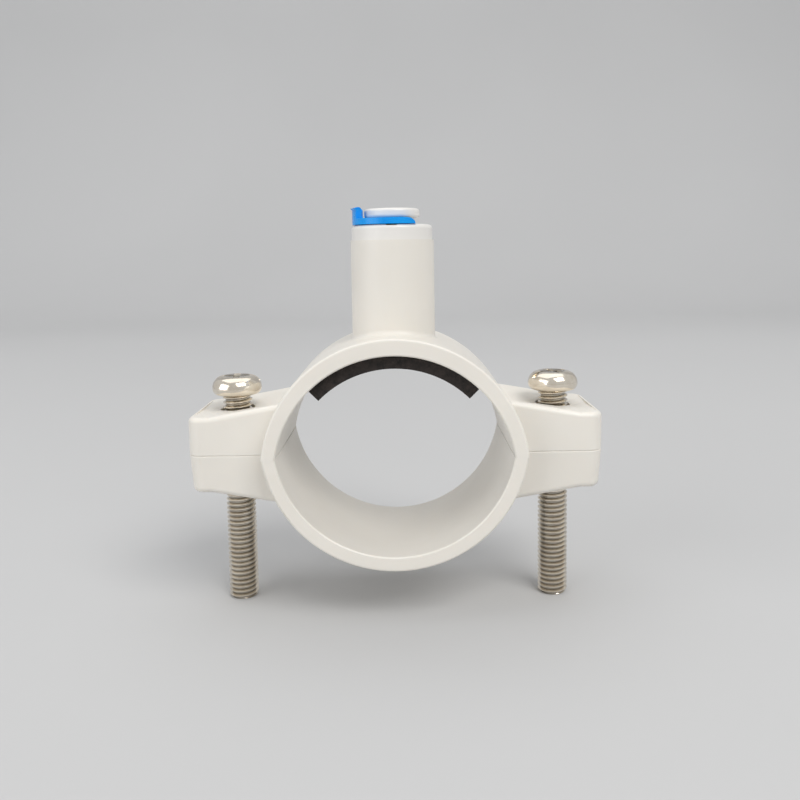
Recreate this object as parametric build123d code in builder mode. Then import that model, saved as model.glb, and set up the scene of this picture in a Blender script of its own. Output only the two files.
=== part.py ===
"""Tapping saddle: a two-piece plastic clamp for a 38 mm waste pipe.

The upper half carries a push-fit port for 6.35 mm tube. Two machine screws draw the halves together.
Millimetres. X runs along the ears, Y along the pipe, Z up through the port.
The origin is the middle of the pipe opening, on the parting plane.
"""
from build123d import *
from math import radians, tan
import os

os.makedirs("parts", exist_ok=True)

# Clamp halves
pipe_radius = 19.0
upper_seat_drop = 2.8
lower_seat_rise = 3.25
ring_outer = 21.15
upper_outer_drop = 2.25
lower_outer_rise = 3.05
ring_width = 25.4
ring_edge_radius = 0.4
bore_edge_chamfer = 0.2

# Ears
ear_reach = 33.4
ear_width = 18.0
ear_height = 6.2
ear_corner_radius = 2.2
ear_slope_start = 29.8
ear_root = 18.0
ear_root_height = 8.3
ear_top_radius = 0.8
lower_ear_radius = 1.0
lower_ear_draft = 4.5
parting_chamfer = 0.15
clearance_hole_radius = 2.9
lower_hole_radius = 2.75

# Shallow valley along the top of each upper ear
valley_half_width = 8.2
valley_depth = 0.3
valley_end = 32.6
valley_root_depth = 1.5
valley_edge_rise = 0.02

# Port, from its mouth down
port_radius = 6.95
port_top = 34.1
port_base_radius = 0.8
cartridge_radius = 5.62
cartridge_floor = 26.5
o_ring_recess_radius = 4.9
o_ring_recess_floor = 24.6
tube_bore_radius = 3.3
tube_stop = 21.5
waterway_radius = 2.7
gasket_hole_radius = 4.0

# Port cap
cap_radius = 6.7
cap_height = 2.5
cap_edge_radius = 0.7
cap_skirt_radius = 5.6
cap_skirt_bottom = 27.5
cap_bore_radius = 3.95
cap_cone_top = 33.3
cap_cone_bottom = 31.7
cap_skirt_bore_radius = 4.95
notch_width = 1.7
notch_depth = 0.2

# Collet
clip_gap = 1.1
collet_flange_radius = 4.6
collet_flange_height = 1.55
collet_flange_edge = 0.5
collet_neck_radius = 3.75
collet_cone_top = 33.0
collet_cone_bottom = 31.5
collet_barb_radius = 4.7
collet_barb_bottom = 29.5
collet_tip_radius = 4.2
collet_bottom = 29.0
slot_width = 0.9
slot_top = 33.6
slot_count = 2
first_slot_angle = 45.0

# Grab teeth
tooth_inner_radius = 3.08
tooth_outer_radius = 4.1
tooth_bottom = 29.9
tooth_thickness = 0.35
tooth_gap = 2.0

# Seal
o_ring_section_radius = 0.9
o_ring_inner_radius = 3.08
washer_radius = 5.55
washer_bore_radius = 3.5
washer_thickness = 0.95

# Locking clip
clip_radius = 6.6
clip_clearance = 0.05
clip_slot_radius = 3.85
clip_arm_reach = 3.85
clip_arm_end_length = 1.3
tab_inner_radius = 5.6
tab_arc = 56.0
tab_top = 39.5
tab_top_radius = 0.45
tab_lip_reach = 0.27
tab_lip_bottom = 39.0
tab_lip_tip = 39.32
tab_foot_radius = 0.6

# Gasket
gasket_thickness = 2.2
gasket_half_angle = 45.0
gasket_inset = 2.0

# Screws and nuts
screw_spacing = 53.6
screw_radius = 2.5
screw_underside = 8.6
screw_length = 35.5
head_radius = 4.15
head_height = 3.1
head_flat_radius = 2.3
head_side = 1.1
head_base_radius = 3.3
tip_chamfer = 0.5
slot_depth = 1.0
recess_width = 1.1
recess_length = 4.6
recess_depth = 1.8
head_turns = (8.0, 24.0)
nut_across_flats = 8.0
nut_height = 4.0
nut_top = -2.4
nut_bore_radius = 2.55
nut_chamfer_width = 0.6
nut_chamfer_height = 0.3
pocket_clearance = 0.05

# Worked out from the values above
cap_top = port_top + cap_height
flange_bottom = cap_top + clip_gap
collet_top = flange_bottom + collet_flange_height
clip_bottom = cap_top + clip_clearance
clip_top = flange_bottom - clip_clearance
screw_tip = screw_underside - screw_length
head_top = screw_underside + head_height
screws = {"left": (-screw_spacing / 2, head_turns[0]), "right": (screw_spacing / 2, head_turns[1])}
nut_bottom = nut_top - nut_height
far = 60.0  # past the end of everything


def finish(piece, name):
    """Label a finished piece and write its STEP file."""
    piece.part.label = name
    export_step(piece.part, f"parts/{name}.step")


def ear_block_profile(side):
    """Front outline of both ears as one bar, above (+1) or below (-1) the parting plane."""
    outline = [
        (ear_reach + 1, 0),
        (ear_reach + 1, side * ear_height),
        (ear_slope_start, side * ear_height),
        (ear_root, side * ear_root_height),
    ]
    mirrored = [(-x, z) for x, z in reversed(outline)]
    return Polyline(*outline, *mirrored, close=True)


def is_outline(edge):
    """True for an edge round the rim of the ears, not a crease across them."""
    middle = edge.center()
    return abs(middle.X) > ear_slope_start + 1 or abs(middle.Y) > 1


def is_end_arc(edge):
    """True for an arc that lies in one of the ring's end faces."""
    return edge.geom_type == GeomType.CIRCLE and abs(abs(edge.center().Y) - ring_width / 2) < 0.01


def is_ring_rim(edge):
    """True for an outer arc of the ring."""
    return is_end_arc(edge) and abs(edge.radius - ring_outer) < 0.01


def is_seat_edge(edge):
    """True for an inner arc of the ring."""
    return is_end_arc(edge) and abs(edge.radius - pipe_radius) < 0.01


def is_port_base(edge):
    """True for the closed curve where the port meets the ring."""
    middle = edge.center(CenterOf.MASS)
    return edge.is_closed and abs(middle.X) < 1 and abs(middle.Y) < 1 and middle.Z < port_top - 1


# Upper half: ears, half ring and port stem, one moulding
with BuildPart() as upper_saddle:
    with BuildSketch(Plane.XY):
        RectangleRounded(2 * ear_reach, ear_width, ear_corner_radius)
    extrude(amount=ear_root_height + 1)
    with BuildSketch(Plane.XZ):
        with BuildLine():
            ear_block_profile(1)
        make_face()
    extrude(amount=ear_width, both=True, mode=Mode.INTERSECT)
    rim = upper_saddle.edges().filter_by_position(Axis.Z, ear_height - 0.01, far).filter_by(is_outline)
    fillet(rim, ear_top_radius)
    sole = upper_saddle.edges().filter_by_position(Axis.Z, -0.01, 0.01)
    chamfer(sole, parting_chamfer)

    # Valley from each screw hole out to the ear's end, then in to the ring, where it is deeper
    for side in (-1, 1):
        hole_x = side * screw_spacing / 2
        slope = (ear_root_height - ear_height) / (ear_slope_start - ear_root)
        rise_at_hole = slope * (ear_slope_start - abs(hole_x))
        floor = ear_height - valley_depth
        stations = [
            (side * valley_end, ear_height, floor),
            (hole_x, ear_height + rise_at_hole, floor),
            (side * ear_root, ear_root_height, ear_root_height - valley_root_depth),
        ]
        for start, end in zip(stations, stations[1:]):
            for x, edge_z, floor_z in (start, end):
                with BuildSketch(Plane.YZ.offset(x)):
                    with BuildLine():
                        Polyline(
                            (-valley_half_width, edge_z + valley_edge_rise),
                            (0, floor_z),
                            (valley_half_width, edge_z + valley_edge_rise),
                            (valley_half_width, far),
                            (-valley_half_width, far),
                            close=True,
                        )
                    make_face()
            loft(mode=Mode.SUBTRACT)

    # Half ring, its arcs centred below the parting plane, a little thicker at the top than at the sides
    with BuildSketch(Plane.XZ):
        with Locations((0, -upper_outer_drop)):
            Circle(ring_outer)
        with Locations((0, -far)):
            Rectangle(2 * far, 2 * far, mode=Mode.SUBTRACT)
    extrude(amount=ring_width / 2, both=True)
    fillet(upper_saddle.edges().filter_by(is_ring_rim), ring_edge_radius)

    # Port stem, blended into the ring
    with BuildSketch(Plane.XY.offset(pipe_radius - upper_seat_drop)):
        Circle(port_radius)
    extrude(amount=port_top - pipe_radius + upper_seat_drop)
    port_base = upper_saddle.edges().filter_by(is_port_base).sort_by(SortBy.LENGTH)[0]
    fillet(port_base, port_base_radius)

    # Pipe seat
    with BuildSketch(Plane.XZ):
        with Locations((0, -upper_seat_drop)):
            Circle(pipe_radius)
    extrude(amount=ring_width, both=True, mode=Mode.SUBTRACT)
    chamfer(upper_saddle.edges().filter_by(is_seat_edge), bore_edge_chamfer)

    # Stepped bore of the port: cartridge, O-ring, tube and waterway
    for top, bottom, radius in (
        (port_top, cartridge_floor, cartridge_radius),
        (cartridge_floor, o_ring_recess_floor, o_ring_recess_radius),
        (o_ring_recess_floor, tube_stop, tube_bore_radius),
        (tube_stop, 0, waterway_radius),
    ):
        with BuildSketch(Plane.XY.offset(bottom)):
            Circle(radius)
        extrude(amount=top - bottom, mode=Mode.SUBTRACT)

    # Clearance holes for the screws
    with BuildSketch(Plane.XY):
        with GridLocations(screw_spacing, 0, 2, 1):
            Circle(clearance_hole_radius)
    extrude(amount=far, mode=Mode.SUBTRACT)

# Lower half: ears with nut pockets and half ring, one moulding
with BuildPart() as lower_saddle:
    with BuildSketch(Plane.XY):
        RectangleRounded(2 * ear_reach, ear_width, ear_corner_radius)
    extrude(amount=-ear_root_height - 1, taper=lower_ear_draft)
    with BuildSketch(Plane.XZ):
        with BuildLine():
            ear_block_profile(-1)
        make_face()
    extrude(amount=ear_width, both=True, mode=Mode.INTERSECT)
    rim = lower_saddle.edges().filter_by_position(Axis.Z, -far, -ear_height + 0.01).filter_by(is_outline)
    fillet(rim, lower_ear_radius)
    chamfer(lower_saddle.edges().filter_by_position(Axis.Z, -0.01, 0.01), parting_chamfer)

    # Half ring, its arcs centred above the parting plane
    with BuildSketch(Plane.XZ):
        with Locations((0, lower_outer_rise)):
            Circle(ring_outer)
        with Locations((0, far)):
            Rectangle(2 * far, 2 * far, mode=Mode.SUBTRACT)
    extrude(amount=ring_width / 2, both=True)
    fillet(lower_saddle.edges().filter_by(is_ring_rim), ring_edge_radius)

    # Pipe seat
    with BuildSketch(Plane.XZ):
        with Locations((0, lower_seat_rise)):
            Circle(pipe_radius)
    extrude(amount=ring_width, both=True, mode=Mode.SUBTRACT)
    chamfer(lower_saddle.edges().filter_by(is_seat_edge), bore_edge_chamfer)

    # Screw holes, and hexagonal nut pockets open below
    with BuildSketch(Plane.XY):
        with GridLocations(screw_spacing, 0, 2, 1):
            Circle(lower_hole_radius)
    extrude(amount=-far, mode=Mode.SUBTRACT)
    with BuildSketch(Plane.XY.offset(nut_top)):
        with GridLocations(screw_spacing, 0, 2, 1):
            RegularPolygon(nut_across_flats / 2 + pocket_clearance, 6, major_radius=False)
    extrude(amount=-far, mode=Mode.SUBTRACT)

# Gasket: a rubber pad glued into the upper seat, holed under the waterway
with BuildPart() as gasket:
    with BuildSketch(Plane.XZ):
        with Locations((0, -upper_seat_drop)):
            Circle(pipe_radius)
            Circle(pipe_radius - gasket_thickness, mode=Mode.SUBTRACT)
        with BuildLine():
            Polyline(
                (0, -upper_seat_drop),
                (far * tan(radians(gasket_half_angle)), far - upper_seat_drop),
                (-far * tan(radians(gasket_half_angle)), far - upper_seat_drop),
                close=True,
            )
        make_face(mode=Mode.INTERSECT)
    extrude(amount=ring_width / 2 - gasket_inset, both=True)
    with BuildSketch(Plane.XY):
        Circle(gasket_hole_radius)
    extrude(amount=far, mode=Mode.SUBTRACT)

# Port cap: a ring pressed into the port's mouth, coned inside to squeeze the collet's fingers
with BuildPart() as port_cap:
    with BuildSketch(Plane.XZ):
        with BuildLine():
            Polyline(
                (cap_bore_radius, cap_top),
                (cap_radius, cap_top),
                (cap_radius, port_top),
                (cap_skirt_radius, port_top),
                (cap_skirt_radius, cap_skirt_bottom),
                (cap_skirt_bore_radius, cap_skirt_bottom),
                (cap_skirt_bore_radius, cap_cone_bottom),
                (cap_bore_radius, cap_cone_top),
                close=True,
            )
        make_face()
    revolve(axis=Axis.Z)
    top_edges = port_cap.edges().filter_by(GeomType.CIRCLE).group_by(Axis.Z)[-1]
    fillet(top_edges.sort_by(SortBy.RADIUS)[-1], cap_edge_radius)
    with BuildSketch(Plane.XY.offset(cap_top)):
        with Locations((0, -cap_radius)):
            Rectangle(notch_width, 2 * (cap_radius - cap_bore_radius))
    extrude(amount=-notch_depth, mode=Mode.SUBTRACT)

# Collet: flange, neck and four barbed fingers, grooved for the teeth
with BuildPart() as collet:
    with BuildSketch(Plane.XZ):
        with BuildLine():
            Polyline(
                (tube_bore_radius, collet_top),
                (collet_flange_radius, collet_top),
                (collet_flange_radius, flange_bottom),
                (collet_neck_radius, flange_bottom),
                (collet_neck_radius, collet_cone_top),
                (collet_barb_radius, collet_cone_bottom),
                (collet_barb_radius, collet_barb_bottom),
                (collet_tip_radius, collet_bottom),
                (tube_bore_radius, collet_bottom),
                close=True,
            )
        make_face()
    revolve(axis=Axis.Z)
    flange_edges = collet.edges().filter_by(GeomType.CIRCLE).filter_by_position(Axis.Z, flange_bottom, collet_top)
    fillet([edge for edge in flange_edges if abs(edge.radius - collet_flange_radius) < 0.01], collet_flange_edge)
    with BuildSketch(Plane.XY.offset(collet_bottom)):
        with PolarLocations(0, slot_count, first_slot_angle, 180):
            Rectangle(4 * collet_barb_radius, slot_width)
    extrude(amount=slot_top - collet_bottom, mode=Mode.SUBTRACT)
    with BuildSketch(Plane.XY.offset(tooth_bottom)):
        Circle(tooth_outer_radius)
    extrude(amount=tooth_thickness, mode=Mode.SUBTRACT)

# Grab teeth: one steel blade in each finger, biting just inside the tube's radius
with BuildPart() as grab_teeth:
    with BuildSketch(Plane.XY.offset(tooth_bottom)):
        Circle(tooth_outer_radius)
        Circle(tooth_inner_radius, mode=Mode.SUBTRACT)
        with PolarLocations(0, slot_count, first_slot_angle, 180):
            Rectangle(4 * tooth_outer_radius, tooth_gap, mode=Mode.SUBTRACT)
    extrude(amount=tooth_thickness)

# Washer that keeps the O-ring in its recess
with BuildPart() as spacer_washer:
    with BuildSketch(Plane.XY.offset(cartridge_floor)):
        Circle(washer_radius)
        Circle(washer_bore_radius, mode=Mode.SUBTRACT)
    extrude(amount=washer_thickness)

# O-ring that seals on the tube
with BuildPart() as o_ring:
    with BuildSketch(Plane.XZ):
        with Locations((o_ring_inner_radius + o_ring_section_radius, (cartridge_floor + o_ring_recess_floor) / 2)):
            Circle(o_ring_section_radius)
    revolve(axis=Axis.Z)

# Locking clip: a horseshoe plate under the collet's flange, with a thumb tab
with BuildPart() as lock_clip:
    with BuildSketch(Plane.XY.offset(clip_bottom)):
        Circle(clip_radius)
        with Locations((clip_arm_reach + clip_radius, 0)):
            Rectangle(2 * clip_radius, 3 * clip_radius, mode=Mode.SUBTRACT)
        Circle(clip_slot_radius, mode=Mode.SUBTRACT)
        with Locations((clip_radius, 0)):
            Rectangle(2 * clip_radius, 2 * clip_slot_radius, mode=Mode.SUBTRACT)
    extrude(amount=clip_top - clip_bottom)
    with BuildSketch(Plane.XZ):
        with BuildLine():
            EllipticalCenterArc(
                (clip_arm_reach - clip_arm_end_length, clip_bottom),
                clip_arm_end_length,
                clip_top - clip_bottom,
                start_angle=0,
                arc_size=90,
            )
            Polyline(
                (clip_arm_reach - clip_arm_end_length, clip_top),
                (clip_arm_reach, clip_top),
                (clip_arm_reach, clip_bottom),
            )
        make_face()
    extrude(amount=clip_radius, both=True, mode=Mode.SUBTRACT)
    with BuildSketch(Plane.XZ.rotated((0, 0, 180 - tab_arc / 2))):
        with BuildLine():
            Polyline(
                (tab_inner_radius - tab_foot_radius, clip_top),
                (tab_inner_radius - tab_foot_radius, clip_bottom),
                (clip_radius, clip_bottom),
                (clip_radius, tab_lip_bottom),
                (clip_radius + tab_lip_reach, tab_lip_tip),
                (clip_radius - tab_lip_reach, tab_top),
                (tab_inner_radius + tab_top_radius, tab_top),
            )
            RadiusArc(
                (tab_inner_radius + tab_top_radius, tab_top),
                (tab_inner_radius, tab_top - tab_top_radius),
                -tab_top_radius,
            )
            Line((tab_inner_radius, tab_top - tab_top_radius), (tab_inner_radius, clip_top + tab_foot_radius))
            RadiusArc(
                (tab_inner_radius, clip_top + tab_foot_radius),
                (tab_inner_radius - tab_foot_radius, clip_top),
                tab_foot_radius,
            )
        make_face()
    revolve(axis=Axis.Z, revolution_arc=tab_arc)


def front_plane(x):
    """Vertical plane facing the front, with its origin on the screw axis at x."""
    return Plane(origin=(x, 0, 0), x_dir=(1, 0, 0), z_dir=(0, -1, 0))


def make_screw(x, head_turn):
    """Pan-head machine screw with a slot and a cross recess in its head."""
    head_plane = Plane(origin=(x, 0, head_top)).rotated((0, 0, head_turn))
    with BuildPart() as screw:
        with BuildSketch(front_plane(x)):
            with BuildLine():
                Line((0, head_top), (head_flat_radius, head_top))
                EllipticalCenterArc(
                    (head_flat_radius, screw_underside + head_side),
                    head_radius - head_flat_radius,
                    head_height - head_side,
                    start_angle=0,
                    arc_size=90,
                )
                EllipticalCenterArc(
                    (head_base_radius, screw_underside + head_side),
                    head_radius - head_base_radius,
                    head_side,
                    start_angle=270,
                    arc_size=90,
                )
                Polyline(
                    (head_base_radius, screw_underside),
                    (screw_radius, screw_underside),
                    (screw_radius, screw_tip + tip_chamfer),
                    (screw_radius - tip_chamfer, screw_tip),
                    (0, screw_tip),
                    (0, head_top),
                )
            make_face()
        revolve(axis=Axis((x, 0, 0), (0, 0, 1)))
        with BuildSketch(head_plane):
            Rectangle(4 * head_radius, recess_width)
        extrude(amount=-slot_depth, mode=Mode.SUBTRACT)
        with BuildSketch(head_plane):
            Rectangle(recess_length, recess_width)
            Rectangle(recess_width, recess_length)
        extrude(amount=-recess_depth, mode=Mode.SUBTRACT)
    return screw


def make_nut(x):
    """Hexagon nut, chamfered at its corners, bored for running clearance on the screw."""
    corner_radius = nut_across_flats / 3**0.5
    with BuildPart() as nut:
        with BuildSketch(Plane(origin=(x, 0, nut_bottom))):
            RegularPolygon(nut_across_flats / 2, 6, major_radius=False)
            Circle(nut_bore_radius, mode=Mode.SUBTRACT)
        extrude(amount=nut_height)
        with BuildSketch(front_plane(x)):
            with BuildLine():
                Polyline(
                    (0, nut_bottom),
                    (corner_radius - nut_chamfer_width, nut_bottom),
                    (corner_radius, nut_bottom + nut_chamfer_height),
                    (corner_radius, nut_top - nut_chamfer_height),
                    (corner_radius - nut_chamfer_width, nut_top),
                    (0, nut_top),
                    close=True,
                )
            make_face()
        revolve(axis=Axis((x, 0, 0), (0, 0, 1)), mode=Mode.INTERSECT)
    return nut


finish(upper_saddle, "upper_saddle")
finish(lower_saddle, "lower_saddle")
finish(gasket, "gasket")
finish(port_cap, "port_cap")
finish(collet, "collet")
finish(grab_teeth, "grab_teeth")
finish(spacer_washer, "spacer_washer")
finish(o_ring, "o_ring")
finish(lock_clip, "lock_clip")
for side, (x, head_turn) in screws.items():
    finish(make_screw(x, head_turn), f"screw_{side}")
    finish(make_nut(x), f"nut_{side}")
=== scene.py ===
"""Tapping saddle: a white plastic clamp with a push-fit port, two plated screws and a blue locking clip.

Metres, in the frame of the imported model: X along the ears, Y along the pipe, Z up through the port.
"""
from math import cos, pi, radians, sin, tau

import bmesh
import bpy
from mathutils import Matrix, Vector


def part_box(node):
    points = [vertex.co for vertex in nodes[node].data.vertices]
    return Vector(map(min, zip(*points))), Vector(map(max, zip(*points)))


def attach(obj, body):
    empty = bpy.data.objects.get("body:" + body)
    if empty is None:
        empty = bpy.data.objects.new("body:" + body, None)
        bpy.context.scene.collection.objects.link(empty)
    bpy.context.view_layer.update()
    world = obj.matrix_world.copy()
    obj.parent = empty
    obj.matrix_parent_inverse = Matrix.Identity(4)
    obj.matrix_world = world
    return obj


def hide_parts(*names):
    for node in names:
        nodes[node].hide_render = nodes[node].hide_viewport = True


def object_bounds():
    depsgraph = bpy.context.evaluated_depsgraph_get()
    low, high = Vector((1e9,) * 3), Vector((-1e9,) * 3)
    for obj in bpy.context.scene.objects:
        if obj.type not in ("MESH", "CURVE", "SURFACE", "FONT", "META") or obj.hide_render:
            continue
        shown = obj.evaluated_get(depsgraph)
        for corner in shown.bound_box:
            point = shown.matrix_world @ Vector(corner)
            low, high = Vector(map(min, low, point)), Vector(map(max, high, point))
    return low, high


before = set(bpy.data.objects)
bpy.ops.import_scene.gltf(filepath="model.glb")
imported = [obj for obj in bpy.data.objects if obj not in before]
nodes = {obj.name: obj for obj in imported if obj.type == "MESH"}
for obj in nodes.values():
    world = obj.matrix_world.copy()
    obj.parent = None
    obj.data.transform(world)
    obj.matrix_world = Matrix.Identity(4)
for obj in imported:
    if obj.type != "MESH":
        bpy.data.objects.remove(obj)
cad_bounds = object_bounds()

MM = 0.001

# M5 coarse thread
SCREW_OFFSET = 26.8 * MM
PITCH = 0.8 * MM
CREST = 2.48 * MM
THREAD_DEPTH = 0.47 * MM
CREST_WIDTH = 0.16
ROOT_WIDTH = 0.24
STEPS_AROUND = 56
TIP_CHAMFER = 0.5 * MM
RUNOUT = 0.5 * MM

# Pan head, with a cross recess and a slot across it
HEAD_RADIUS = 4.15 * MM
HEAD_HEIGHT = 3.1 * MM
HEAD_WIDEST = 1.1 * MM
HEAD_BASE = 3.3 * MM
HEAD_FLAT = 2.3 * MM
HEAD_STEPS = 128
CROSS_LENGTH = 4.6 * MM
CROSS_WIDTH = 1.1 * MM
CROSS_FLOOR_LENGTH = 2.6 * MM
CROSS_FLOOR_WIDTH = 0.85 * MM
CROSS_DEPTH = 1.9 * MM
SLOT_WIDTH = 1.02 * MM
SLOT_DEPTH = 0.95 * MM
HEAD_TURNS = {"left": 8.0, "right": 24.0}
CUTTER_RISE = 1.0 * MM
EDGE_ROUNDING = 0.06 * MM
SHANK_OVERLAP = 0.3 * MM

# Painted shade in the thread's grooves: the share of the plating's colour that is kept there
GROOVE_PAINTED_SHADE = 0.48


# ---------------------------------------------------------------- materials

class Shading:
    """Short calls for building one material's node tree."""

    def __init__(self, name):
        self.material = bpy.data.materials.new(name)
        self.material.use_nodes = True
        self.tree = self.material.node_tree
        self.shader = self.tree.nodes["Principled BSDF"]
        self.place = self.add("ShaderNodeTexCoord").outputs["Object"]

    def add(self, kind, **settings):
        node = self.tree.nodes.new(kind)
        for key, value in settings.items():
            setattr(node, key, value)
        return node

    def link(self, source, target):
        self.tree.links.new(source, target)

    def set(self, **values):
        """Constants on the shader's own sockets, with spaces for underscores."""
        for key, value in values.items():
            self.shader.inputs[key.replace("_", " ")].default_value = value

    def noise(self, scale, detail=3.0, roughness=0.5, stretch=(1, 1, 1)):
        """Noise over the object's own coordinates, scale in features per metre."""
        mapping = self.add("ShaderNodeMapping")
        mapping.inputs["Scale"].default_value = stretch
        self.link(self.place, mapping.inputs["Vector"])
        noise = self.add("ShaderNodeTexNoise")
        noise.inputs["Scale"].default_value = scale
        noise.inputs["Detail"].default_value = detail
        noise.inputs["Roughness"].default_value = roughness
        self.link(mapping.outputs["Vector"], noise.inputs["Vector"])
        return noise.outputs["Fac"]

    def spread(self, value, low, high, start=0.3, end=0.7):
        """Maps a value between start and end onto low to high."""
        node = self.add("ShaderNodeMapRange")
        node.inputs["From Min"].default_value = start
        node.inputs["From Max"].default_value = end
        node.inputs["To Min"].default_value = low
        node.inputs["To Max"].default_value = high
        self.link(value, node.inputs["Value"])
        return node.outputs["Result"]

    def tint(self, value, low, high, start=0.35, end=0.65):
        """A colour that runs from low to high as the value runs from start to end."""
        ramp = self.add("ShaderNodeValToRGB")
        ramp.color_ramp.elements[0].position = start
        ramp.color_ramp.elements[0].color = (*low, 1)
        ramp.color_ramp.elements[1].position = end
        ramp.color_ramp.elements[1].color = (*high, 1)
        self.link(value, ramp.inputs["Fac"])
        self.link(ramp.outputs["Color"], self.shader.inputs["Base Color"])

    def roughness(self, value, low, high):
        self.link(self.spread(value, low, high), self.shader.inputs["Roughness"])

    def bump(self, layers):
        """Adds height layers of (value, depth in metres) to the surface normal."""
        normal = None
        for value, depth in layers:
            node = self.add("ShaderNodeBump")
            node.inputs["Strength"].default_value = 1.0
            node.inputs["Distance"].default_value = depth
            self.link(value, node.inputs["Height"])
            if normal:
                self.link(normal, node.inputs["Normal"])
            normal = node.outputs["Normal"]
        self.link(normal, self.shader.inputs["Normal"])


def moulded_plastic(name, base, shade, rough, unevenness, waves, grain, depth):
    """Injection-moulded plastic: slow flow waves, fine tool grain and a faint unevenness of colour."""
    m = Shading(name)
    flow = m.noise(90, 2.0)
    fine = m.noise(5200, 4.0, 0.6)
    m.tint(flow, shade, base)
    m.roughness(m.noise(700, 4.0), rough - unevenness, rough + unevenness)
    m.bump([(flow, waves * MM), (fine, grain * MM)])
    m.set(IOR=1.49, Specular_IOR_Level=0.5)
    m.set(Subsurface_Weight=depth, Subsurface_Scale=0.0012, Subsurface_Radius=(1.0, 0.85, 0.7))
    return m.material


def saddle_plastic():
    return moulded_plastic(
        "saddle_plastic", base=(0.82, 0.785, 0.72), shade=(0.795, 0.76, 0.695),
        rough=0.38, unevenness=0.05, waves=0.06, grain=0.003, depth=0.12,
    )


def port_plastic():
    return moulded_plastic(
        "port_plastic", base=(0.82, 0.80, 0.765), shade=(0.805, 0.785, 0.75),
        rough=0.30, unevenness=0.02, waves=0.015, grain=0.0005, depth=0.0,
    )


def clip_plastic():
    """Blue plastic, with a finer, glossier skin."""
    m = Shading("clip_plastic")
    flow = m.noise(260, 2.0)
    m.tint(flow, (0.0, 0.27, 0.78), (0.0, 0.33, 0.88))
    m.roughness(m.noise(1200, 4.0), 0.20, 0.28)
    m.bump([(flow, 0.05 * MM), (m.noise(6000, 4.0), 0.003 * MM)])
    m.set(IOR=1.5, Specular_IOR_Level=0.35)
    m.set(Subsurface_Weight=0.1, Subsurface_Scale=0.0008, Subsurface_Radius=(0.3, 0.6, 1.0))
    return m.material


def gasket_rubber():
    """Closed-cell rubber: matt and nearly black, with small pores and dusty high spots."""
    m = Shading("gasket_rubber")
    pores = m.add("ShaderNodeTexVoronoi", feature="F1")
    pores.inputs["Scale"].default_value = 3800
    m.link(m.place, pores.inputs["Vector"])
    mottle = m.noise(900, 6.0, 0.65)
    m.tint(mottle, (0.012, 0.010, 0.009), (0.045, 0.036, 0.032))
    m.roughness(mottle, 0.7, 0.92)
    m.bump([(mottle, 0.12 * MM), (m.spread(pores.outputs["Distance"], 0.0, 1.0, 0.0, 0.45), 0.05 * MM)])
    m.set(Specular_IOR_Level=0.35)
    return m.material


def seal_rubber():
    """Smooth rubber of the O-ring, with faint moulding flow."""
    m = Shading("seal_rubber")
    flow = m.noise(1500, 4.0)
    m.tint(flow, (0.012, 0.012, 0.012), (0.022, 0.022, 0.022))
    m.roughness(flow, 0.35, 0.5)
    m.bump([(flow, 0.01 * MM)])
    return m.material


def plated_steel(name, low, high, rough_low, rough_high, scratch_stretch):
    """Nickel-plated steel: bright, warm, with fine drawn scratches and uneven gloss."""
    m = Shading(name)
    cloud = m.noise(420, 5.0, 0.6)
    scratches = m.noise(2600, 5.0, 0.7, scratch_stretch)
    m.tint(cloud, low, high)
    m.roughness(scratches, rough_low, rough_high)
    m.bump([(scratches, 0.003 * MM), (cloud, 0.008 * MM)])
    m.set(Metallic=1.0)
    return m


def screw_steel():
    """Plated steel with painted shade: its colour is darkened below the groove radius, in the thread's
    grooves and also in the middle of the head and its recesses.
    """
    m = plated_steel("screw_steel", (0.74, 0.665, 0.56), (0.86, 0.80, 0.70), 0.10, 0.20, (1, 1, 5))
    split = m.add("ShaderNodeSeparateXYZ")
    m.link(m.place, split.inputs["Vector"])
    across = m.add("ShaderNodeMath", operation="ABSOLUTE")
    m.link(split.outputs["X"], across.inputs[0])
    offset = m.add("ShaderNodeMath", operation="SUBTRACT")
    offset.inputs[1].default_value = SCREW_OFFSET
    m.link(across.outputs["Value"], offset.inputs[0])
    flat = m.add("ShaderNodeCombineXYZ")
    m.link(offset.outputs["Value"], flat.inputs["X"])
    m.link(split.outputs["Y"], flat.inputs["Y"])
    radius = m.add("ShaderNodeVectorMath", operation="LENGTH")
    m.link(flat.outputs["Vector"], radius.inputs[0])
    # Painted shade: the plating colour is scaled down to the groove shade level below the groove radius, and
    # rises to full colour at the flanks
    groove = CREST - THREAD_DEPTH
    flank = CREST - 0.35 * THREAD_DEPTH
    groove_shade = m.spread(radius.outputs["Value"], GROOVE_PAINTED_SHADE, 1.0, groove, flank)
    plating = m.shader.inputs["Base Color"].links[0].from_socket
    darken = m.add("ShaderNodeVectorMath", operation="SCALE")
    m.link(plating, darken.inputs["Vector"])
    m.link(groove_shade, darken.inputs["Scale"])
    m.link(darken.outputs["Vector"], m.shader.inputs["Base Color"])
    return m.material


def nut_steel():
    return plated_steel("nut_steel", (0.55, 0.53, 0.50), (0.66, 0.64, 0.61), 0.24, 0.40, (4, 1, 1)).material


def tooth_steel():
    return plated_steel("tooth_steel", (0.56, 0.56, 0.56), (0.68, 0.68, 0.68), 0.2, 0.32, (1, 1, 1)).material


materials = {
    "upper_saddle": saddle_plastic(),
    "port_cap": port_plastic(),
    "lock_clip": clip_plastic(),
    "gasket": gasket_rubber(),
    "o_ring": seal_rubber(),
    "grab_teeth": tooth_steel(),
    "nut_left": nut_steel(),
}
materials["lower_saddle"] = materials["upper_saddle"]
materials["collet"] = materials["port_cap"]
materials["spacer_washer"] = materials["port_cap"]
materials["nut_right"] = materials["nut_left"]
SCREW_STEEL = screw_steel()


def dress(node, material):
    """Gives a CAD node its material."""
    slots = nodes[node].material_slots
    for slot in slots:
        slot.material = material
    if not slots:
        nodes[node].data.materials.append(material)


for node, material in materials.items():
    dress(node, material)


# ---------------------------------------------------------------- screws

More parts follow.
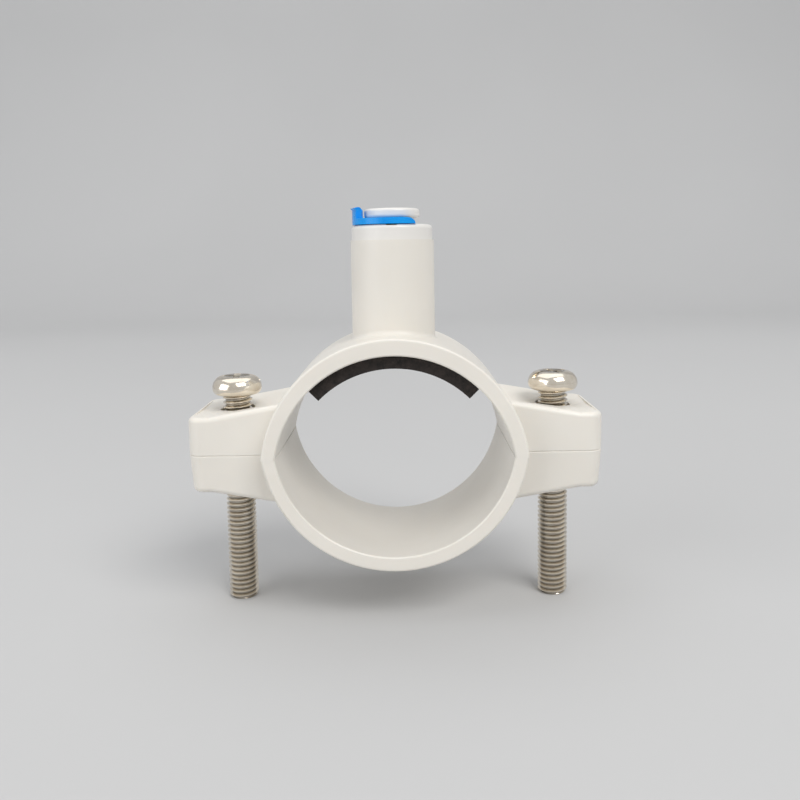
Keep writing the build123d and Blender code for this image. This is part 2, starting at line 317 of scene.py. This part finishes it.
def thread_profile():
    """(height up the pitch, radius) of one thread, both 0 to 1: root flat, flank, crest flat, flank."""
    flank = (1 - CREST_WIDTH - ROOT_WIDTH) / 2
    corners = [
        (0.0, 0.0),
        (ROOT_WIDTH, 0.0),
        (ROOT_WIDTH + flank, 1.0),
        (ROOT_WIDTH + flank + CREST_WIDTH, 1.0),
    ]
    points = []
    for (h0, r0), (h1, r1) in zip(corners, corners[1:] + [(1.0, 0.0)]):
        points += [(h0, r0), ((h0 + h1) / 2, (r0 + r1) / 2)]
    return points


def thread_mesh(axis_x, tip_z, top_z):
    """A threaded shank as a closed bmesh: a helical grid, cut flat at both ends."""
    profile = thread_profile()
    per_turn = len(profile)
    turns = int((top_z - tip_z) / PITCH) + 3
    start_z = tip_z - 1.5 * PITCH
    bm = bmesh.new()
    columns = []
    for i in range(STEPS_AROUND):
        angle = tau * i / STEPS_AROUND
        column = []
        for k in range(turns * per_turn + 1):
            height, swell = profile[k % per_turn]
            z = start_z + (k // per_turn + height + i / STEPS_AROUND) * PITCH
            radius = CREST - THREAD_DEPTH * (1 - swell)
            radius = min(radius, CREST - TIP_CHAMFER + max(z - tip_z, 0))
            fade = min(max((top_z - z) / RUNOUT, 0), 1)
            radius = max(radius, CREST - THREAD_DEPTH * fade)
            column.append(bm.verts.new((axis_x + radius * cos(angle), radius * sin(angle), z)))
        columns.append(column)
    for i, column in enumerate(columns):
        following = columns[(i + 1) % STEPS_AROUND]
        shift = per_turn if i == STEPS_AROUND - 1 else 0
        for k in range(len(column) - 1 - shift):
            quad = (column[k], following[k + shift], following[k + shift + 1], column[k + 1])
            bm.faces.new(quad)
    for height, outward in ((tip_z, -1), (top_z, 1)):
        geometry = bm.verts[:] + bm.edges[:] + bm.faces[:]
        cut = bmesh.ops.bisect_plane(
            bm, geom=geometry, dist=1e-8, plane_co=(0, 0, height), plane_no=(0, 0, outward), clear_outer=True
        )
        rim = [e for e in cut["geom_cut"] if isinstance(e, bmesh.types.BMEdge)]
        bmesh.ops.contextual_create(bm, geom=rim)
    bmesh.ops.recalc_face_normals(bm, faces=bm.faces[:])
    return bm


def head_mesh(axis_x, underside_z):
    """The pan head as a closed bmesh of revolution: flat bearing face, rolled rim, domed top."""
    steps = 12
    outline = []
    for step in range(steps):
        angle = pi / 2 * (step / steps - 1)
        outline.append((HEAD_BASE + (HEAD_RADIUS - HEAD_BASE) * cos(angle), HEAD_WIDEST * (1 + sin(angle))))
    for step in range(steps + 1):
        angle = pi / 2 * step / steps
        radius = HEAD_FLAT + (HEAD_RADIUS - HEAD_FLAT) * cos(angle)
        outline.append((radius, HEAD_WIDEST + (HEAD_HEIGHT - HEAD_WIDEST) * sin(angle)))
    bm = bmesh.new()
    rings = []
    for radius, height in outline:
        ring = []
        for i in range(HEAD_STEPS):
            angle = tau * i / HEAD_STEPS
            place = (axis_x + radius * cos(angle), radius * sin(angle), underside_z + height)
            ring.append(bm.verts.new(place))
        rings.append(ring)
    for low, high in zip(rings, rings[1:]):
        for i in range(HEAD_STEPS):
            j = (i + 1) % HEAD_STEPS
            bm.faces.new((low[i], low[j], high[j], high[i]))
    crown = bm.verts.new((axis_x, 0, underside_z + HEAD_HEIGHT))
    base = bm.verts.new((axis_x, 0, underside_z))
    for i in range(HEAD_STEPS):
        j = (i + 1) % HEAD_STEPS
        bm.faces.new((rings[-1][i], rings[-1][j], crown))
        bm.faces.new((rings[0][j], rings[0][i], base))
    return bm


def bar(length, width):
    """Corners of a straight slot, seen from above."""
    x, y = length / 2, width / 2
    return [(x, y), (-x, y), (-x, -y), (x, -y)]


def cross(length, width):
    """Corners of a cross of two bars, seen from above."""
    a, b = length / 2, width / 2
    quarter = [(a, -b), (a, b), (b, b)]
    corners = []
    for step in range(4):
        turn = Matrix.Rotation(pi / 2 * step, 2)
        corners += [tuple(turn @ Vector(corner)) for corner in quarter]
    return corners


def cutter_mesh(axis_x, top_z, outline, floor_outline, depth, turn):
    """The tool that cuts a recess: one outline at the head's top, another at the recess floor."""
    bm = bmesh.new()
    spin = Matrix.Rotation(radians(turn), 2)
    rings = []
    for z, corners in ((top_z + CUTTER_RISE, outline), (top_z, outline), (top_z - depth, floor_outline)):
        ring = []
        for corner in corners:
            x, y = spin @ Vector(corner)
            ring.append(bm.verts.new((axis_x + x, y, z)))
        rings.append(ring)
    count = len(outline)
    for upper, lower in zip(rings, rings[1:]):
        for i in range(count):
            j = (i + 1) % count
            bm.faces.new((upper[i], upper[j], lower[j], lower[i]))
    bm.faces.new(rings[0])
    bm.faces.new(rings[-1])
    bmesh.ops.recalc_face_normals(bm, faces=bm.faces[:])
    return bm


def to_object(name, bm, smooth_angle=None):
    """Turns a bmesh into a linked object, shaded smooth except at sharp edges."""
    mesh = bpy.data.meshes.new(name)
    bm.to_mesh(mesh)
    bm.free()
    piece = bpy.data.objects.new(name, mesh)
    bpy.context.scene.collection.objects.link(piece)
    if smooth_angle:
        mesh.shade_smooth()
        mesh.set_sharp_from_angle(angle=radians(smooth_angle))
    return piece


def combine(piece, tool, operation):
    """Applies a boolean of tool on piece and deletes the tool."""
    modifier = piece.modifiers.new("combine", "BOOLEAN")
    modifier.operation = operation
    modifier.solver = "EXACT"
    modifier.object = tool
    apply_modifiers(piece)
    bpy.data.objects.remove(tool)


def apply_modifiers(piece):
    """Replaces a piece's mesh by its modified one."""
    bpy.context.view_layer.update()
    evaluated = piece.evaluated_get(bpy.context.evaluated_depsgraph_get())
    mesh = bpy.data.meshes.new_from_object(evaluated)
    piece.modifiers.clear()
    piece.data = mesh


def make_screw(side):
    """A pan-head machine screw in place of the plain CAD one."""
    node = f"screw_{side}"
    low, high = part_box(node)
    axis_x = (low[0] + high[0]) / 2
    top_z = high[2]
    underside_z = top_z - HEAD_HEIGHT
    screw = to_object(f"screw_{side}_detailed", head_mesh(axis_x, underside_z))
    slot = bar(4 * HEAD_RADIUS, SLOT_WIDTH)
    cuts = [
        (cross(CROSS_LENGTH, CROSS_WIDTH), cross(CROSS_FLOOR_LENGTH, CROSS_FLOOR_WIDTH), CROSS_DEPTH),
        (slot, slot, SLOT_DEPTH),
    ]
    for outline, floor_outline, depth in cuts:
        tool = cutter_mesh(axis_x, top_z, outline, floor_outline, depth, HEAD_TURNS[side])
        combine(screw, to_object("recess_tool", tool), "DIFFERENCE")
    edges = screw.modifiers.new("edges", "BEVEL")
    edges.width = EDGE_ROUNDING
    edges.segments = 2
    edges.limit_method = "ANGLE"
    edges.angle_limit = radians(35)
    apply_modifiers(screw)
    shank = to_object("shank", thread_mesh(axis_x, low[2], underside_z + SHANK_OVERLAP))
    combine(screw, shank, "UNION")
    screw.data.shade_smooth()
    screw.data.set_sharp_from_angle(angle=radians(30))
    screw.data.materials.clear()
    screw.data.materials.append(SCREW_STEEL)
    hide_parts(node)
    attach(screw, f"{side}_screw")
    return screw


for side in ("left", "right"):
    make_screw(side)


# ---------------------------------------------------------------- stage, light and camera

FLOOR_Z = cad_bounds[0][2]


def pale_backdrop():
    """Floor and wall in one swept sheet, plain and pale."""
    reach, back, height, bend = 0.85, 0.9, 1.2, 0.35
    profile = [(-reach, 0.0), (back - bend, 0.0)]
    steps = 24
    for step in range(1, steps + 1):
        angle = pi / 2 * step / steps
        profile.append((back - bend + bend * sin(angle), bend - bend * cos(angle)))
    profile.append((back, height))
    bm = bmesh.new()
    rows = []
    for y, z in profile:
        rows.append([bm.verts.new((x, y, FLOOR_Z + z)) for x in (-reach, reach)])
    for a, b in zip(rows, rows[1:]):
        bm.faces.new((a[0], a[1], b[1], b[0]))
    backdrop = to_object("backdrop", bm, smooth_angle=60)
    m = Shading("backdrop_paint")
    m.tint(m.noise(3.0, 2.0), (0.56, 0.56, 0.56), (0.58, 0.58, 0.58))
    m.set(Roughness=0.9)
    backdrop.data.materials.append(m.material)


def area_light(name, place, target, size, power, colour=(1, 1, 1)):
    """A square soft box, aimed at a point."""
    light = bpy.data.lights.new(name, "AREA")
    light.shape = "RECTANGLE"
    light.size, light.size_y = size
    light.energy = power
    light.color = colour
    lamp = bpy.data.objects.new(name, light)
    lamp.location = place
    lamp.rotation_euler = (Vector(target) - Vector(place)).to_track_quat("-Z", "Y").to_euler()
    bpy.context.scene.collection.objects.link(lamp)


def lamps():
    centre = (0, 0, 0.005)
    area_light("key", (0.48, -0.71, 0.94), centre, (0.76, 0.60), 8.6, (1.0, 0.985, 0.965))
    area_light("fill", (-0.94, -0.60, 0.37), centre, (0.90, 0.90), 4.5)
    area_light("top", (-0.09, 0.25, 1.15), centre, (1.5, 1.2), 4.6)


def room():
    """Soft light from all round, with a plain pale wall wherever the floor and backdrop end."""
    world = bpy.data.worlds.new("room")
    bpy.context.scene.world = world
    world.use_nodes = True
    tree = world.node_tree

    def background(colour, strength):
        node = tree.nodes.new("ShaderNodeBackground")
        node.inputs["Color"].default_value = colour
        node.inputs["Strength"].default_value = strength
        return node.outputs["Background"]

    def either(first, second):
        node = tree.nodes.new("ShaderNodeMath")
        node.operation = "MAXIMUM"
        tree.links.new(first, node.inputs[0])
        tree.links.new(second, node.inputs[1])
        return node.outputs["Value"]

    path = tree.nodes.new("ShaderNodeLightPath").outputs
    seen = either(either(path["Is Camera Ray"], path["Is Glossy Ray"]), path["Is Transmission Ray"])
    mix = tree.nodes.new("ShaderNodeMixShader")
    tree.links.new(seen, mix.inputs["Fac"])
    tree.links.new(background((0.95, 0.97, 1.0, 1), 0.42), mix.inputs[1])
    tree.links.new(background((0.6, 0.6, 0.6, 1), 1.0), mix.inputs[2])
    tree.links.new(mix.outputs["Shader"], tree.nodes["World Output"].inputs["Surface"])


def camera():
    """134 mm in front, level with the upper part of the port, tipped down by 5.7 degrees."""
    yaw, pitch, roll = 0.0056, -0.0990, 0.0164
    data = bpy.data.cameras.new("camera")
    data.sensor_width = 36.0
    data.lens = 36.0
    data.shift_y = -0.0875
    data.clip_start = 0.005
    data.clip_end = 20.0
    view = bpy.data.objects.new("camera", data)
    turn = Matrix.Rotation(yaw, 3, "Z") @ Matrix.Rotation(pitch, 3, "X") @ Matrix.Rotation(roll, 3, "Y")
    right, forward, up = turn.col[0], turn.col[1], turn.col[2]
    axes = Matrix((right, up, -forward)).transposed()
    place = Vector((1.804, -134.412, 32.350)) * MM
    view.matrix_world = Matrix.Translation(place) @ axes.to_4x4()
    bpy.context.scene.collection.objects.link(view)
    bpy.context.scene.camera = view


pale_backdrop()
lamps()
room()
camera()
bpy.context.scene.view_settings.view_transform = "Standard"
